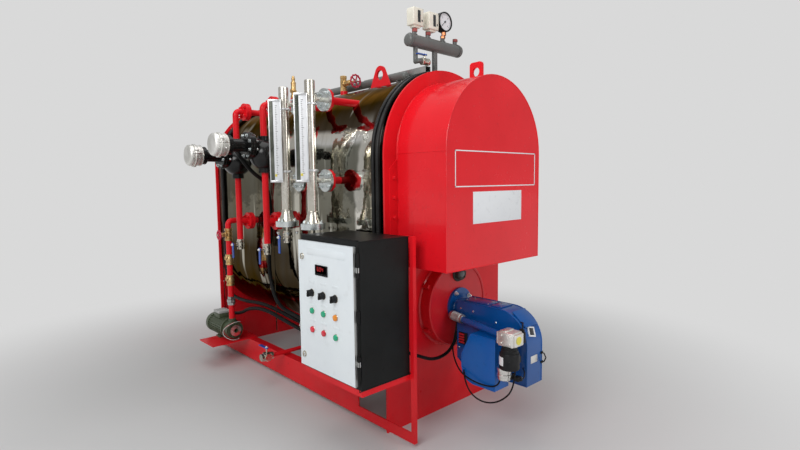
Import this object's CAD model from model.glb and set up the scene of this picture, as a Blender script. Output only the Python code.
import math
import bpy
import bmesh
from mathutils import Matrix, Vector


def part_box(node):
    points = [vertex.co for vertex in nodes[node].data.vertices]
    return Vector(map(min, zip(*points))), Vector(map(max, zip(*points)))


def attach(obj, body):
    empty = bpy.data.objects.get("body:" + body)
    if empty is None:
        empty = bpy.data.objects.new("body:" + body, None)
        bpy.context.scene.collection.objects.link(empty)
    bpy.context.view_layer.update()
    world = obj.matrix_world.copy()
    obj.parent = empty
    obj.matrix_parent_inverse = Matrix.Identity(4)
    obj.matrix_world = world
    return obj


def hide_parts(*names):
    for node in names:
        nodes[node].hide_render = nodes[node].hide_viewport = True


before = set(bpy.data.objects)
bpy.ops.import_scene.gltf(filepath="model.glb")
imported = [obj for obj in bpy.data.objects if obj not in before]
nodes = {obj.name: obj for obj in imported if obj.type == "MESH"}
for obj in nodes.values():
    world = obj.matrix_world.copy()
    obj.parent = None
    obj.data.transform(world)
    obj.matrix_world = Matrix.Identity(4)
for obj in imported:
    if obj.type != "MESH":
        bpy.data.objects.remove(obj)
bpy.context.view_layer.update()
scene = bpy.context.scene
creaseAngle = math.radians(32)
up = Vector((0, 0, 1))
left = Vector((-1, 0, 0))
ahead = Vector((0, -1, 0))


def spanOf(node):
    low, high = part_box(node)
    return low, high, (low + high) / 2


cameraSet = {"place": (-2.2162, -1.97, 1.3543), "yaw": -42.92, "pitch": -5.0, "roll": -0.68, "lens": 22.79}


def makeCamera():
    yaw = math.radians(cameraSet["yaw"])
    pitch = math.radians(cameraSet["pitch"])
    roll = math.radians(cameraSet["roll"])
    look = Vector((-math.sin(yaw) * math.cos(pitch), math.cos(yaw) * math.cos(pitch), math.sin(pitch)))
    side = look.cross(up).normalized()
    head = side.cross(look)
    levelSide = side * math.cos(roll) + head * math.sin(roll)
    levelHead = head * math.cos(roll) - side * math.sin(roll)
    lens = bpy.data.cameras.new("camera")
    lens.lens = cameraSet["lens"]
    lens.sensor_width = 36
    lens.clip_start = 0.05
    camera = bpy.data.objects.new("camera", lens)
    turn = Matrix((levelSide, levelHead, -look)).transposed().to_4x4()
    camera.matrix_world = Matrix.Translation(cameraSet["place"]) @ turn
    scene.collection.objects.link(camera)
    scene.camera = camera


makeCamera()
print("camera set")


class Signal:
    # One socket: an expression on it adds the Math nodes that it needs.
    def __init__(self, finish, socket):
        self.finish = finish
        self.socket = socket

    def reckon(self, operation, first, second):
        return self.finish.node("ShaderNodeMath", {"operation": operation}, {0: first, 1: second})

    def __add__(self, other):
        return self.reckon("ADD", self, other)

    def __sub__(self, other):
        return self.reckon("SUBTRACT", self, other)

    def __rsub__(self, other):
        return self.reckon("SUBTRACT", other, self)

    def __mul__(self, other):
        return self.reckon("MULTIPLY", self, other)

    __radd__ = __add__
    __rmul__ = __mul__


class Finish:
    # A material, its Principled shader and the few nodes that every surface here is made of.
    def __init__(self, name, fixed):
        self.material = bpy.data.materials.new(name)
        self.material.use_nodes = True
        self.tree = self.material.node_tree
        self.shader = self.tree.nodes["Principled BSDF"]
        for socket, value in fixed.items():
            self.shader.inputs[socket].default_value = value
        self.place = self.node("ShaderNodeTexCoord", output="Object")
        apart = self.tree.nodes.new("ShaderNodeSeparateXYZ")
        self.tree.links.new(self.place.socket, apart.inputs[0])
        self.x, self.y, self.z = (Signal(self, socket) for socket in apart.outputs)

    def node(self, kind, settings=None, sockets=None, output=0):
        made = self.tree.nodes.new(kind)
        for key, value in (settings or {}).items():
            if key == "stops":
                ramp = made.color_ramp
                ramp.elements[0].position, ramp.elements[0].color = value[0]
                ramp.elements[1].position, ramp.elements[1].color = value[-1]
                for position, colour in value[1:-1]:
                    ramp.elements.new(position).color = colour
            else:
                setattr(made, key, value)
        for key, value in (sockets or {}).items():
            if isinstance(value, Signal):
                self.tree.links.new(value.socket, made.inputs[key])
            else:
                made.inputs[key].default_value = value
        return Signal(self, made.outputs[output])

    def noise(self, scale, detail=3.0, stretch=(1, 1, 1)):
        at = self.node("ShaderNodeVectorMath", {"operation": "MULTIPLY"}, {0: self.place, 1: stretch})
        return self.node("ShaderNodeTexNoise", {}, {"Vector": at, "Scale": scale, "Detail": detail})

    def spread(self, signal, low, high, toLow=0.0, toHigh=1.0):
        return self.node("ShaderNodeMapRange", {"interpolation_type": "SMOOTHSTEP"},
                         {0: signal, 1: low, 2: high, 3: toLow, 4: toHigh})

    def between(self, signal, low, high, soft=0.0006):
        return self.spread(signal, low - soft, low) * self.spread(signal, high, high + soft, 1.0, 0.0)

    def mix(self, share, first, second):
        return self.node("ShaderNodeMix", {"data_type": "RGBA"}, {0: share, 6: first, 7: second}, 2)

    def feed(self, sockets):
        for name, signal in sockets.items():
            self.tree.links.new(signal.socket, self.shader.inputs[name])

    def bump(self, height, strength, distance=0.001):
        raised = self.node("ShaderNodeBump", {}, {"Strength": strength, "Distance": distance, "Height": height})
        self.feed({"Normal": raised})


def rgb(red, green, blue):
    return (red, green, blue, 1.0)


finishes = {}


def enamel(name, colour, deep, rough=0.3, coat=0.5, peel=0.07, dust=0.03, sheen=0.3):
    # Sprayed paint: slow shade changes, orange peel, scuffs and dust low down.
    made = Finish(name, {"Coat Weight": coat, "Coat Roughness": 0.08, "Specular IOR Level": sheen})
    slow = made.spread(made.noise(2.6, 3), 0.3, 0.7)
    scuff = made.spread(made.noise(38, 5), 0.56, 0.78)
    low = made.spread(made.z, 0.02, 0.5, dust, 0.0) * made.spread(made.noise(9, 4), 0.35, 0.7)
    base = made.mix(slow, deep, colour)
    base = made.mix(scuff * 0.35, base, tuple(c * 0.7 for c in deep[:3]) + (1.0,))
    base = made.mix(low, base, rgb(0.34, 0.29, 0.25))
    made.feed({"Base Color": base, "Roughness": slow * 0.06 + scuff * 0.04 + low + rough})
    made.bump(made.noise(150, 2) + made.noise(26, 2) * 2.0, peel, 0.0012)
    finishes[name] = made.material
    return made


def bareMetal(name, colour, deep, rough=0.25, grain=(1, 1, 1), grainScale=300, bump=0.1, spots=0.0):
    # Metal with the marks of its making: drawn or turned grain, or the skin of a casting.
    made = Finish(name, {"Metallic": 1.0})
    slow = made.spread(made.noise(11, 4), 0.3, 0.7)
    fine = made.noise(grainScale, 3, grain)
    stain = made.spread(made.noise(52, 5), 0.55, 0.75) * spots
    base = made.mix(stain, made.mix(slow, deep, colour), rgb(0.12, 0.1, 0.08))
    made.feed({"Base Color": base, "Roughness": slow * 0.12 + fine * 0.16 + stain * 0.3 + (rough - 0.1)})
    made.bump(fine, bump, 0.0006)
    finishes[name] = made.material
    return made


def moulded(name, colour, deep, rough=0.4, bump=0.15, scale=420, coat=0.0, sheen=0.5):
    # Plastic or rubber with its fine moulded grain and a little dust.
    made = Finish(name, {"Coat Weight": coat, "Specular IOR Level": sheen})
    slow = made.spread(made.noise(16, 4), 0.35, 0.7)
    base = made.mix(slow, deep, colour)
    base = made.mix(made.spread(made.noise(70, 4), 0.6, 0.8) * 0.04, base, rgb(0.5, 0.48, 0.45))
    made.feed({"Base Color": base, "Roughness": slow * 0.12 + rough})
    made.bump(made.noise(scale, 2), bump, 0.0005)
    finishes[name] = made.material
    return made


def mirrorCladding():
    # Polished sheet that bulges a little between its bands; what it mirrors is soft and streaky.
    made = Finish("mirrorCladding", {"Metallic": 1.0, "Specular Tint": rgb(0.5, 0.42, 0.34)})
    wave = made.noise(1.9, 3, (1, 1.3, 0.7))
    height = made.z + (wave - 0.5) * 0.11
    mirrored = made.node("ShaderNodeValToRGB", {"stops": [
        (0.0, rgb(0.03, 0.027, 0.022)), (0.3, rgb(0.075, 0.065, 0.05)), (0.44, rgb(0.06, 0.052, 0.042)),
        (0.5, rgb(0.15, 0.145, 0.12)), (0.7, rgb(0.24, 0.235, 0.195)), (0.775, rgb(0.3, 0.3, 0.25)),
        (0.79, rgb(0.95, 0.94, 0.9)), (0.818, rgb(0.9, 0.86, 0.78)), (0.83, rgb(0.1, 0.08, 0.06)),
        (0.89, rgb(0.07, 0.055, 0.04)), (0.925, rgb(0.46, 0.24, 0.08)), (0.96, rgb(0.12, 0.09, 0.06)),
        (1.0, rgb(0.5, 0.44, 0.37)),
    ]}, {0: height * 0.5})
    streak = made.spread(made.noise(5.5, 4, (1, 2.2, 0.22)), 0.5, 0.72)
    base = made.mix(streak * 0.6, mirrored, rgb(0.05, 0.045, 0.035))
    gleam = made.spread(made.noise(3.1, 3, (1, 3.0, 0.3)), 0.57, 0.66)
    base = made.mix(gleam * 0.75, base, rgb(0.72, 0.7, 0.62))
    sway = made.y + (made.noise(4.2, 2, (1, 0.4, 1)) - 0.5) * 0.16
    ripple = (made.between(sway, 0.17, 0.235, 0.03) * made.spread(made.z, 0.8, 1.1)
              * made.spread(made.z, 1.6, 1.75, 1.0, 0.0))
    base = made.mix(ripple * 0.8, base, rgb(0.95, 0.92, 0.84))
    smear = made.spread(made.noise(30, 5), 0.52, 0.75)
    made.feed({"Base Color": base, "Roughness": smear * 0.09 + streak * 0.05 + 0.05})
    made.bump(made.noise(3.2, 2, (1, 1, 0.45)) * 6.0 + made.noise(16, 2) * 0.35, 0.55, 0.006)
    finishes["mirrorCladding"] = made.material


def conduitSheath():
    # Corrugated black conduit: rings across its run.
    made = Finish("conduitSheath", {"Specular IOR Level": 0.3})
    slow = made.spread(made.noise(8, 4), 0.35, 0.7)
    made.feed({"Base Color": made.mix(slow, rgb(0.006, 0.006, 0.006), rgb(0.022, 0.022, 0.022)),
               "Roughness": slow * 0.15 + 0.28})
    rings = made.node("ShaderNodeTexWave", {"bands_direction": "Z"}, {"Vector": made.place, "Scale": 38.0})
    made.bump(rings + made.noise(200, 2) * 0.4, 0.35, 0.0012)
    finishes["conduitSheath"] = made.material


def doorWhite():
    # The cabinet door: white powder coat, steel hinge knuckles at its near edge.
    low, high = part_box("cabinet_door")
    made = Finish("doorWhite", {"Coat Weight": 0.2})
    slow = made.spread(made.noise(4, 4), 0.3, 0.7)
    smudge = made.spread(made.noise(21, 5), 0.58, 0.8)
    base = made.mix(slow, rgb(0.83, 0.89, 0.93), rgb(0.88, 0.94, 0.97))
    base = made.mix(smudge * 0.16, base, rgb(0.5, 0.5, 0.48))
    hinge = made.spread(made.y, low.y + 0.024, low.y + 0.026, 1.0, 0.0)
    base = made.mix(hinge, base, rgb(0.55, 0.56, 0.55))
    made.feed({"Base Color": base, "Metallic": hinge, "Roughness": smudge * 0.1 + slow * 0.05 + 0.3})
    made.bump(made.noise(320, 2) + made.noise(60, 2) * 0.5, 0.1, 0.0008)
    finishes["doorWhite"] = made.material


enamels = {  # main colour, deeper colour, roughness, coat, peel, dust, sheen
    "redEnamel": ((0.84, 0.011, 0.02), (0.7, 0.008, 0.015), 0.27, 0.12, 0.06, 0.03, 0.2),
    "smokeboxRed": ((0.86, 0.012, 0.022), (0.77, 0.009, 0.017), 0.22, 0.3, 0.03, 0.03, 0.25),
    "furnaceRed": ((0.7, 0.012, 0.02), (0.56, 0.01, 0.016), 0.34, 0.3),
    "burnerBlue": ((0.002, 0.095, 0.37), (0.001, 0.065, 0.26), 0.26, 0.4, 0.1, 0.0, 0.35),
    "airBoxBlue": ((0.001, 0.13, 0.5), (0.001, 0.1, 0.4), 0.3, 0.25, 0.05, 0.0, 0.35),
    "cabinetBlack": ((0.012, 0.013, 0.013), (0.004, 0.004, 0.004), 0.36, 0.0, 0.2, 0.0, 0.16),
    "castingBlack": ((0.008, 0.008, 0.008), (0.003, 0.003, 0.003), 0.24, 0.3, 0.35, 0.0, 0.25),
    "pumpGreen": ((0.085, 0.11, 0.06), (0.05, 0.068, 0.036), 0.4, 0.3, 0.3, 0.08),
    "headerGrey": ((0.17, 0.175, 0.17), (0.1, 0.105, 0.1), 0.4, 0.2, 0.2, 0.0),
    "wheelRed": ((0.62, 0.012, 0.06), (0.45, 0.008, 0.04), 0.3, 0.5, 0.2, 0.0),
    "signWhite": ((0.86, 0.88, 0.9), (0.8, 0.82, 0.85), 0.35, 0.2, 0.03, 0.0),
    "signYellow": ((0.85, 0.75, 0.12), (0.78, 0.66, 0.08), 0.4, 0.1, 0.05, 0.0),
    "sootGrey": ((0.06, 0.065, 0.055), (0.03, 0.032, 0.028), 0.55, 0.0, 0.5, 0.0),
}
metals = {  # colour, deeper colour, roughness, grain direction, grain scale, bump, spots
    "stainlessTube": ((0.82, 0.79, 0.72), (0.66, 0.62, 0.54), 0.2, (1, 1, 0.03), 500, 0.05),
    "zincPlate": ((0.86, 0.9, 0.9), (0.62, 0.67, 0.67), 0.22, (1, 1, 1), 260, 0.12, 0.12),
    "castSilver": ((0.93, 0.92, 0.89), (0.8, 0.79, 0.75), 0.46, (1, 1, 1), 170, 0.22, 0.06),
    "turnedSilver": ((0.84, 0.83, 0.8), (0.66, 0.65, 0.62), 0.22, (0.05, 0.05, 1), 600, 0.08),
    "nickelPlate": ((0.76, 0.72, 0.63), (0.5, 0.46, 0.38), 0.2, (1, 1, 1), 210, 0.2, 0.25),
    "castBrass": ((0.86, 0.6, 0.29), (0.62, 0.39, 0.15), 0.33, (1, 1, 1), 190, 0.3, 0.2),
    "copperTube": ((0.7, 0.28, 0.13), (0.45, 0.17, 0.08), 0.28, (1, 1, 1), 240, 0.1, 0.1),
    "galvanised": ((0.62, 0.63, 0.61), (0.42, 0.43, 0.42), 0.4, (1, 1, 1), 48, 0.15, 0.15),
    "gaugeSilver": ((0.86, 0.87, 0.88), (0.72, 0.73, 0.74), 0.3, (1, 1, 0.05), 420, 0.05),
    "flapGrey": ((0.2, 0.21, 0.18), (0.11, 0.12, 0.1), 0.3, (1, 1, 0.4), 90, 0.1, 0.1),
}
plastics = {  # colour, deeper colour, roughness, bump, grain scale, coat, sheen
    "softBlack": ((0.016, 0.016, 0.017), (0.007, 0.007, 0.008), 0.4, 0.15, 420, 0.0, 0.25),
    "cableBlack": ((0.012, 0.012, 0.012), (0.005, 0.005, 0.005), 0.42, 0.08, 300, 0.0, 0.12),
    "ivoryPlastic": ((0.88, 0.85, 0.75), (0.78, 0.75, 0.64), 0.42),
    "paleGreyPlastic": ((0.55, 0.56, 0.55), (0.46, 0.47, 0.46), 0.45),
    "sleeveBlue": ((0.01, 0.09, 0.5), (0.008, 0.06, 0.34), 0.36, 0.1, 300, 0.3),
    "tapeRed": ((0.42, 0.1, 0.09), (0.3, 0.06, 0.055), 0.6, 0.5, 500),
    "tieWhite": ((0.85, 0.85, 0.83), (0.76, 0.76, 0.74), 0.4),
    "wireRed": ((0.6, 0.02, 0.03), (0.45, 0.012, 0.02), 0.4),
    "lensGreen": ((0.0, 0.5, 0.26), (0.0, 0.4, 0.2), 0.16, 0.05, 200, 0.8),
    "lensAmber": ((1.0, 0.36, 0.01), (0.85, 0.27, 0.01), 0.16, 0.05, 200, 0.8),
    "lensRed": ((0.85, 0.01, 0.04), (0.65, 0.008, 0.03), 0.16, 0.05, 200, 0.8),
    "glassDark": ((0.012, 0.014, 0.018), (0.006, 0.007, 0.009), 0.06, 0.02, 60, 1.0),
}


def makeFinishes():
    for maker, table in ((enamel, enamels), (bareMetal, metals), (moulded, plastics)):
        for name, (colour, deep, *rest) in table.items():
            maker(name, rgb(*colour), rgb(*deep), *rest)
    glow = moulded("digitRed", rgb(0.55, 0.015, 0.02), rgb(0.42, 0.01, 0.015), 0.3)
    glow.shader.inputs["Emission Color"].default_value = rgb(1.0, 0.03, 0.03)
    glow.shader.inputs["Emission Strength"].default_value = 0.15
    mirrorCladding()
    conduitSheath()
    doorWhite()


makeFinishes()
print("finishes made:", len(finishes))

# Which finish each CAD node wears; every other node is red enamel.
nodeFinish = {
    "jacket": "mirrorCladding", "smokebox": "smokeboxRed", "furnace_door": "furnaceRed",
    "burner_housing": "burnerBlue", "burner_air_box": "airBoxBlue", "gas_pipe": "burnerBlue",
    "gas_valve": "castSilver", "gas_actuator": "softBlack", "gas_filter": "turnedSilver",
    "cabinet": "cabinetBlack", "cabinet_door": "doorWhite", "door_lamps": "lensGreen",
    "selector_near": "softBlack", "selector_middle": "softBlack", "selector_far": "softBlack",
    "level_columns": "stainlessTube", "column_flanges": "zincPlate", "level_gauges": "gaugeSilver",
    "ball_valves": "nickelPlate", "float_chambers": "castingBlack", "float_heads": "castSilver",
    "gate_valve": "castBrass", "check_valves": "castBrass", "pump_volute": "pumpGreen",
    "pump_motor": "pumpGreen", "header": "headerGrey", "pressure_switches": "ivoryPlastic",
    "pressure_gauge": "softBlack", "steam_pipe": "headerGrey", "cable_trough": "galvanised",
    "vent_valve": "castBrass", "safety_valve": "castBrass", "arch_conduits": "conduitSheath",
    "pipe_unions": "galvanised", "gate_wheel": "wheelRed", "vent_wheel": "wheelRed",
}


def dressNodes():
    for name, node in nodes.items():
        finish = nodeFinish.get(name, "redEnamel")
        if "_lever" in name:
            finish = "sleeveBlue"
        if name.endswith("_cable"):
            finish = "cableBlack"
        node.data.set_sharp_from_angle(angle=creaseAngle)
        node.data.materials.clear()
        node.data.materials.append(finishes[finish])


dressNodes()
print("frame dressed:", len(nodes))

leads = {
    "rear": {"diameter": 0.025, "length": 1.889, "stiffness": "stiff", "lay": "loose", "route": [
        (-0.4835, 1.968, 0.75), (-0.4835, 1.968, 0.462), (-0.52, 1.59, 0.462), (-0.538, 1.265, 0.508),
        (-0.531, 0.905, 0.474), (-0.541, 0.6, 0.456), (-0.545, 0.318, 0.434)]},
    "pump": {"diameter": 0.025, "length": 1.466, "stiffness": "stiff", "lay": "loose", "route": [
        (-0.556, 1.763, 0.35), (-0.557, 1.6, 0.368), (-0.562, 1.42, 0.45), (-0.563, 1.18, 0.482),
        (-0.558, 0.9, 0.446), (-0.565, 0.6, 0.424), (-0.569, 0.318, 0.401)]},
    "float": {"diameter": 0.025, "length": 1.818, "stiffness": "stiff", "lay": "hanging", "route": [
        (-0.772, 1.062, 1.53), (-0.7, 1.07, 1.428), (-0.545, 1.12, 1.35), (-0.52, 1.131, 1.08),
        (-0.556, 1.125, 0.85), (-0.56, 1.095, 0.66), (-0.56, 1.005, 0.535), (-0.556, 0.8, 0.506),
        (-0.562, 0.52, 0.494), (-0.558, 0.318, 0.47)]},
    "burner": {"diameter": 0.018, "length": 0.566, "stiffness": "medium", "lay": "hanging", "route": [
        (-0.479, -0.112, 0.478), (-0.39, -0.115, 0.436), (-0.235, -0.117, 0.366), (-0.07, -0.112, 0.406),
        (-0.018, -0.107, 0.54)]},
    "actuator": {"diameter": 0.008, "length": 0.642, "stiffness": "limp", "lay": "hanging", "route": [
        (-0.042, -0.107, 0.566), (-0.06, -0.109, 0.49), (-0.104, -0.12, 0.425), (-0.176, -0.198, 0.378),
        (-0.213, -0.284, 0.328), (-0.197, -0.4, 0.3), (-0.188, -0.506, 0.318), (-0.187, -0.508, 0.367)]},
    "filter": {"diameter": 0.008, "length": 0.509, "stiffness": "limp", "lay": "hanging", "route": [
        (-0.1878, -0.2742, 0.3448), (-0.2, -0.289, 0.3), (-0.223, -0.352, 0.244),
        (-0.224, -0.44, 0.226), (-0.214, -0.53, 0.258), (-0.192, -0.596, 0.335), (-0.19, -0.598, 0.429)]},
}


def makeCable(name, lead):
    curve = bpy.data.curves.new(name + "Cable", "CURVE")
    curve.dimensions = "3D"
    spline = curve.splines.new("NURBS")
    spline.points.add(len(lead["route"]) - 1)
    for point, place in zip(spline.points, lead["route"]):
        point.co = (*place, 1.0)
    spline.order_u = 3
    spline.use_endpoint_u = True
    spline.resolution_u = 10
    curve.bevel_depth = lead["diameter"] / 2
    curve.bevel_resolution = 4
    curve.use_fill_caps = True
    curve.materials.append(finishes["cableBlack"])
    cable = bpy.data.objects.new(name + "Cable", curve)
    scene.collection.objects.link(cable)
    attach(cable, "boiler")
    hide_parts(name + "_cable")


for leadName, leadFacts in leads.items():
    makeCable(leadName, leadFacts)
print("cables laid:", len(leads))


columnX = -0.66
columnYs = (0.412, 0.688)
floatYs = (1.042, 1.435)
feedAt = (-0.6, 1.64)  # X and Y of the feed line


def standing(at, axis, spin=0.0):
    turn = Vector(axis).to_track_quat("Z", "Y").to_matrix().to_4x4()
    return Matrix.Translation(Vector(at)) @ turn @ Matrix.Rotation(spin, 4, "Z")


class Work:
    # One piece's mesh, put together from turned, sawn, bent and pressed shapes.
    def __init__(self):
        self.mesh = bmesh.new()

    def skin(self, rings, closed=False):
        pairs = list(zip(rings, rings[1:]))
        if closed:
            pairs.append((rings[-1], rings[0]))
        for low, high in pairs:
            count = max(len(low), len(high))
            for k in range(count):
                after = (k + 1) % count
                corners = [low[k % len(low)], low[after % len(low)], high[after % len(high)], high[k % len(high)]]
                corners = [c for n, c in enumerate(corners) if c not in corners[:n]]
                self.mesh.faces.new(corners)
        if not closed:
            for ring in (rings[0], rings[-1]):
                if len(ring) > 2:
                    self.mesh.faces.new(ring)
        return self

    def turned(self, profile, at, axis=(0, 0, 1), sides=28, spin=0.0, hollow=False, wave=(0, 0.0)):
        # profile: (radius, height) pairs along the axis; hollow joins its last pair to its first.
        place = standing(at, axis, spin)
        lobes, depth = wave
        rings = []
        for radius, height in profile:
            if radius < 1e-6:
                rings.append([self.mesh.verts.new(place @ Vector((0, 0, height)))])
                continue
            ring = []
            for k in range(sides):
                angle = math.tau * k / sides
                reach = radius + depth * math.cos(lobes * angle)
                ring.append(self.mesh.verts.new(
                    place @ Vector((reach * math.cos(angle), reach * math.sin(angle), height))))
            rings.append(ring)
        return self.skin(rings, hollow)

    def ring(self, at, axis, radius, thick, sides=40, around=10, wave=(0, 0.0)):
        turns = [math.tau * k / around for k in range(around)]
        profile = [(radius + thick * math.cos(t), thick * math.sin(t)) for t in turns]
        return self.turned(profile, at, axis, sides, 0.0, True, wave)

    def block(self, low, high, soft=0.002, place=None, steps=2):
        part = bmesh.new()
        size = [b - a for a, b in zip(low, high)]
        middle = [(a + b) / 2 for a, b in zip(low, high)]
        bmesh.ops.create_cube(part, size=1.0, matrix=Matrix.Translation(middle) @ Matrix.Diagonal((*size, 1)))
        soft = min(soft, 0.45 * min(size))
        bmesh.ops.bevel(part, geom=part.edges[:], offset=soft, segments=steps, affect="EDGES", profile=0.5)
        return self.take(part, place)

    def take(self, part, place=None):
        part.transform(place or Matrix())
        carrier = bpy.data.meshes.new("carrier")
        part.to_mesh(carrier)
        self.mesh.from_mesh(carrier)
        bpy.data.meshes.remove(carrier)
        part.free()
        return self

    def pipe(self, points, radius, sides=10, closed=False):
        # A round wire or bead along points, its frame carried along without twist.
        points = [Vector(p) for p in points]
        count = len(points)
        rings = []
        side = None
        for k, point in enumerate(points):
            before = points[k - 1] if k or closed else point
            after = points[(k + 1) % count] if k + 1 < count or closed else point
            way = (after - before).normalized()
            if side is None:
                side = way.orthogonal().normalized()
            side = (side - way * side.dot(way)).normalized()
            other = way.cross(side)
            turns = [math.tau * n / sides for n in range(sides)]
            rings.append([self.mesh.verts.new(point + (side * math.cos(t) + other * math.sin(t)) * radius)
                          for t in turns])
        return self.skin(rings, closed)

    def pressed(self, outline, start, way):
        # A flat outline of points pushed along a vector.
        base = [self.mesh.verts.new(Vector(start) + Vector(p)) for p in outline]
        top = [self.mesh.verts.new(v.co + Vector(way)) for v in base]
        return self.skin([base, top])

    def bolt(self, at, axis, size, spin=0.4, nut=False):
        # Washer, hexagon head and the end of the thread; size is across the head's corners.
        axis = Vector(axis).normalized()
        r = size / 2
        self.turned([(r * 1.22, 0), (r * 1.22, r * 0.22), (r * 0.9, r * 0.24)], at, axis, 18)
        head = [(r * 0.94, r * 0.22), (r, r * 0.34), (r, r * 1.05), (r * 0.82, r * 1.22)]
        self.turned(head, at, axis, 6, spin)
        if nut:
            thread = [(r * 0.52, r * 1.1), (r * 0.52, r * 1.75), (r * 0.4, r * 1.9)]
            self.turned(thread, at, axis, 12)
        return self

    def boltCircle(self, at, axis, radius, count, size, start=0.785, nut=False):
        place = standing(at, axis)
        for k in range(count):
            angle = start + math.tau * k / count
            spot = place @ Vector((radius * math.cos(angle), radius * math.sin(angle), 0))
            self.bolt(spot, axis, size, 0.3 + 0.7 * k, nut)
        return self

    def done(self, name, finish, body="boiler", slot=None, replaces=()):
        bmesh.ops.recalc_face_normals(self.mesh, faces=self.mesh.faces[:])
        for face in self.mesh.faces:
            face.smooth = True
        for edge in self.mesh.edges:
            edge.smooth = len(edge.link_faces) == 2 and edge.calc_face_angle(0) < creaseAngle
        data = bpy.data.meshes.new(name)
        self.mesh.to_mesh(data)
        self.mesh.free()
        data.materials.append(finishes[finish])
        piece = bpy.data.objects.new(name, data)
        scene.collection.objects.link(piece)
        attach(piece, body)
        if replaces:
            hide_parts(*replaces)
        return piece


def archPath(half, low, top, y, steps=28):
    # Up one side, over the round top and down the other, for beads and trims.
    path = [Vector((-half, y, low)), Vector((-half, y, (low + top) / 2)), Vector((-half, y, top))]
    path += [Vector((-half * math.cos(math.pi * k / steps), y, top + half * math.sin(math.pi * k / steps)))
             for k in range(1, steps)]
    return path + [Vector((half, y, top)), Vector((half, y, (low + top) / 2)), Vector((half, y, low))]


smokeTrim = {"bead": 0.0026, "boltSize": 0.019, "boltRows": 5, "signWidth": 0.0055, "signThick": 0.0012}
smokeSign = {"left": -0.338, "right": 0.362, "low": 1.319, "high": 1.501}
smokePlate = {"left": -0.2, "right": 0.227, "low": 1.13, "high": 1.294}


def makeSmokebox():
    low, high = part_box("smokebox")
    half = high.x
    archZ = high.z - half
    bead = smokeTrim["bead"]
    welds = Work()
    welds.pipe(archPath(half - 0.002, low.z, archZ, low.y), bead, 8)
    welds.pipe([(-half, low.y, low.z), (half, low.y, low.z)], bead, 8)
    welds.pipe(archPath(half, low.z, archZ, -0.004), bead * 1.6, 8)
    for side in (-1, 1):
        welds.pipe([(side * half, low.y, archZ), (side * half, low.y / 2, archZ), (side * half, -0.004, archZ)],
                   bead * 0.8, 8)
    low2, high2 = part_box("smokebox_flanges")
    for side in (-1, 1):
        x = side * (half + 0.029)
        for k in range(smokeTrim["boltRows"]):
            z = low2.z + 0.05 + k * (high2.z - low2.z - 0.15) / (smokeTrim["boltRows"] - 1)
            welds.bolt((x, low2.y, z), ahead, smokeTrim["boltSize"])
    welds.done("smokeboxWelds", "smokeboxRed")

    thick = smokeTrim["signThick"]
    wide = smokeTrim["signWidth"]
    y = low.y - 0.0004
    s = smokeSign
    border = Work()
    for z in (s["low"], s["high"] - wide):
        border.block((s["left"], y - thick, z), (s["right"], y, z + wide), 0.0004)
    for x in (s["left"], s["right"] - wide):
        border.block((x, y - thick, s["low"]), (x + wide, y, s["high"]), 0.0004)
    border.done("signBorder", "signWhite")
    s = smokePlate
    plate = Work()
    plate.block((s["left"], y - thick, s["low"]), (s["right"], y, s["high"]), 0.0005)
    for x in (s["left"] + 0.008, s["right"] - 0.008):
        for z in (s["low"] + 0.008, s["high"] - 0.008):
            plate.turned([(0.0026, 0), (0.0026, 0.0008), (0.0012, 0.0018)], (x, y - thick, z), ahead, 12)
    plate.done("blankPlate", "signWhite")


furnace = {"lugCount": 6, "portBolts": 4}


def makeFurnaceDoor():
    low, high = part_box("furnace_door")
    radius = high.x
    centre = Vector((0, -0.075, (low.z + high.z) / 2))
    door = Work()
    door.turned([(radius - 0.018, 0), (radius - 0.004, 0.001), (radius - 0.001, 0.004), (radius - 0.006, 0.0075),
                 (radius - 0.016, 0.006)], centre + ahead * -0.002, ahead, 96, 0.0, True)
    door.turned([(radius + 0.0005, 0), (radius + 0.012, 0.001), (radius + 0.009, 0.006), (radius + 0.0005, 0.01)],
                (0, 0, centre.z), ahead, 96, 0.0, True)
    for k in range(furnace["lugCount"]):
        angle = math.tau * (k + 0.5) / furnace["lugCount"]
        spot = Vector((math.cos(angle) * (radius + 0.004), -0.03, centre.z + math.sin(angle) * (radius + 0.004)))
        door.block((-0.012, -0.022, -0.007), (0.012, 0.022, 0.01), 0.003,
                   Matrix.Translation(spot) @ Matrix.Rotation(math.pi / 2 - angle, 4, "Y"))
    door.done("furnaceDoorRim", "furnaceRed")
    port = Work()
    z = centre.z + 0.177
    port.turned([(0.0335, 0), (0.0335, 0.02), (0.036, 0.021), (0.036, 0.03), (0.033, 0.033), (0.021, 0.033),
                 (0.02, 0.029), (0.0, 0.029)], (0, -0.0755, z), ahead, 40)
    port.boltCircle((0, -0.107, z), ahead, 0.028, furnace["portBolts"], 0.009)
    port.turned([(0.047, 0), (0.047, 0.006), (0.043, 0.009), (0.034, 0.009)], (0, -0.0755, z), ahead, 40)
    port.done("sightPort", "sootGrey")
    glass = Work()
    glass.turned([(0.0198, 0), (0.0198, 0.0035), (0.012, 0.0052), (0, 0.0058)], (0, -0.1045, z), ahead, 32)
    glass.done("sightPortGlass", "glassDark")


burner = {"flangeBolts": 4, "flangeBoltSize": 0.022, "screwSize": 0.0085, "seam": 0.0016, "fanHalf": 0.067}
burnerWindow = {"middle": (-0.01, -0.5705, 0.5785), "half": 0.026, "border": 0.0075, "slope": 65.7, "lean": -14.0}
burnerPlate = {"middle": (-0.004, -0.585, 0.438), "half": (0.03, 0.019)}


def sidePlace(middle):
    # A frame on the fan housing's left face: local X runs ahead, local Y up, local Z out.
    turn = Matrix(((0, 0, -1), (-1, 0, 0), (0, 1, 0))).to_4x4()
    return Matrix.Translation((-burner["fanHalf"], middle[0], middle[1])) @ turn


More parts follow.
